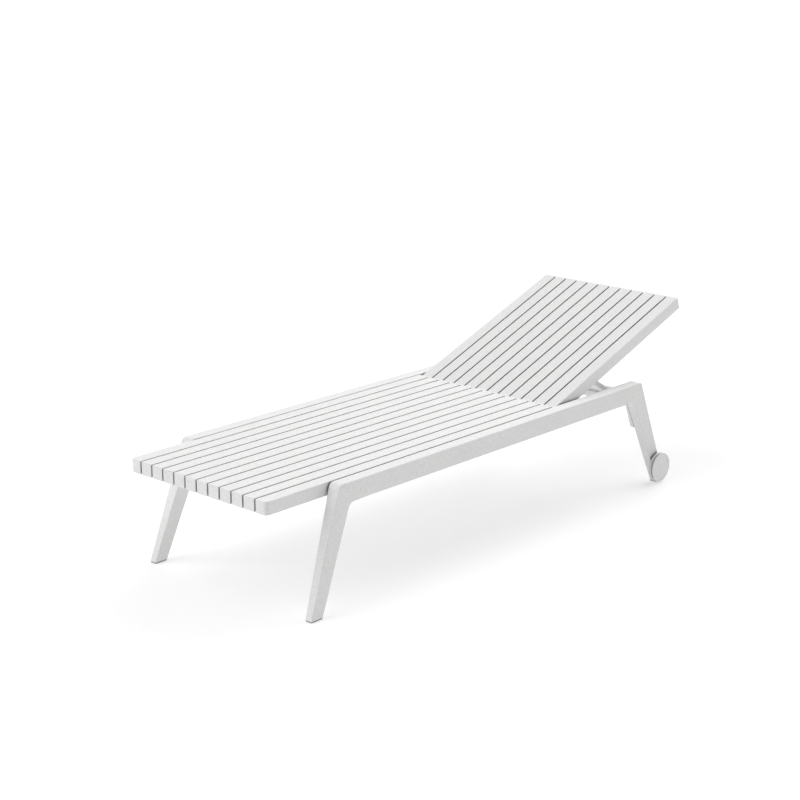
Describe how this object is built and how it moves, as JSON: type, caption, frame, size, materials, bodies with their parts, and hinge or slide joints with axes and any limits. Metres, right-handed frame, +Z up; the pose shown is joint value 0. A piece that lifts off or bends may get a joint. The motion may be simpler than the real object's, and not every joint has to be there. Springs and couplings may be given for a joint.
{
  "type": "reclining sun lounger",
  "caption": "Slatted aluminium sun lounger with splayed legs, a reclining backrest on a folding ratchet prop, and two transport wheels.",
  "frame": {"origin": "on the floor under the middle of the lounger's bounding box, with the backrest at its resting angle", "axes": "+X towards the head end, +Y towards the lounger's left side, +Z up"},
  "size_m": [1.9534, 0.7296, 0.6079],
  "materials": {
    "white_powder_coat": "fine-textured matt powder coat",
    "steel": "satin stainless",
    "bush_plastic": "matt nylon",
    "wheel_plastic": "matt moulded",
    "glide_plastic": "matt moulded"
  },
  "bodies": {
    "frame": {"seat_slat_01": "white_powder_coat", "seat_slat_02": "white_powder_coat", "seat_slat_03": "white_powder_coat", "seat_slat_04": "white_powder_coat", "seat_slat_05": "white_powder_coat", "seat_slat_06": "white_powder_coat", "seat_slat_07": "white_powder_coat", "seat_slat_08": "white_powder_coat", "seat_slat_09": "white_powder_coat", "seat_slat_10": "white_powder_coat", "seat_slat_11": "white_powder_coat", "seat_slat_12": "white_powder_coat", "seat_end_bar": "white_powder_coat", "rail_left": "white_powder_coat", "rail_right": "white_powder_coat", "front_leg_left": "white_powder_coat", "front_leg_right": "white_powder_coat", "rear_leg_left": "white_powder_coat", "rear_leg_right": "white_powder_coat", "seat_crossbar_1": "white_powder_coat", "seat_crossbar_2": "white_powder_coat", "seat_crossbar_3": "white_powder_coat", "rear_crossbar": "white_powder_coat", "rear_bracket_left": "white_powder_coat", "rear_bracket_right": "white_powder_coat", "ratchet_rack_left": "white_powder_coat", "ratchet_rack_right": "white_powder_coat", "hinge_pin_left": "steel", "hinge_pin_right": "steel", "axle_bolt_left": "steel", "axle_bolt_right": "steel", "front_glide_left": "glide_plastic", "front_glide_right": "glide_plastic", "rear_glide_left": "glide_plastic", "rear_glide_right": "glide_plastic"},
    "backrest": {"back_slat_01": "white_powder_coat", "back_slat_02": "white_powder_coat", "back_slat_03": "white_powder_coat", "back_slat_04": "white_powder_coat", "back_slat_05": "white_powder_coat", "back_slat_06": "white_powder_coat", "back_slat_07": "white_powder_coat", "back_slat_08": "white_powder_coat", "back_slat_09": "white_powder_coat", "back_slat_10": "white_powder_coat", "back_slat_11": "white_powder_coat", "back_slat_12": "white_powder_coat", "back_end_bar": "white_powder_coat", "back_crossbar_low": "white_powder_coat", "back_crossbar_prop": "white_powder_coat", "back_crossbar_high": "white_powder_coat", "prop_pivot_rod": "steel", "hinge_bush_left": "bush_plastic", "hinge_bush_right": "bush_plastic"},
    "prop": {"prop_frame": "white_powder_coat", "prop_foot_rod": "steel"},
    "wheel_left": {"wheel_left": "wheel_plastic", "wheel_cover_left": "white_powder_coat"},
    "wheel_right": {"wheel_right": "wheel_plastic", "wheel_cover_right": "white_powder_coat"}
  },
  "joints": [
    {"name": "backrest_recline", "type": "hinge", "parent": "frame", "child": "backrest", "pos_m": [0.30628, 0, 0.354], "axis": [0, -1, 0], "range_deg": [-20, 15]},
    {"name": "prop_fold", "type": "hinge", "parent": "backrest", "child": "prop", "pos_m": [0.53044, 0, 0.396], "axis": [0, 1, 0], "range_deg": [-54, 40.5]},
    {"name": "wheel_left_spin", "type": "hinge", "parent": "frame", "child": "wheel_left", "pos_m": [0.78678, 0.355, 0.057], "axis": [0, 1, 0], "continuous": true},
    {"name": "wheel_right_spin", "type": "hinge", "parent": "frame", "child": "wheel_right", "pos_m": [0.78678, -0.355, 0.057], "axis": [0, 1, 0], "continuous": true}
  ],
  "couplings": [
    {"joint": "prop_fold", "follows": "backrest_recline", "ratio": 2.68}
  ]
}
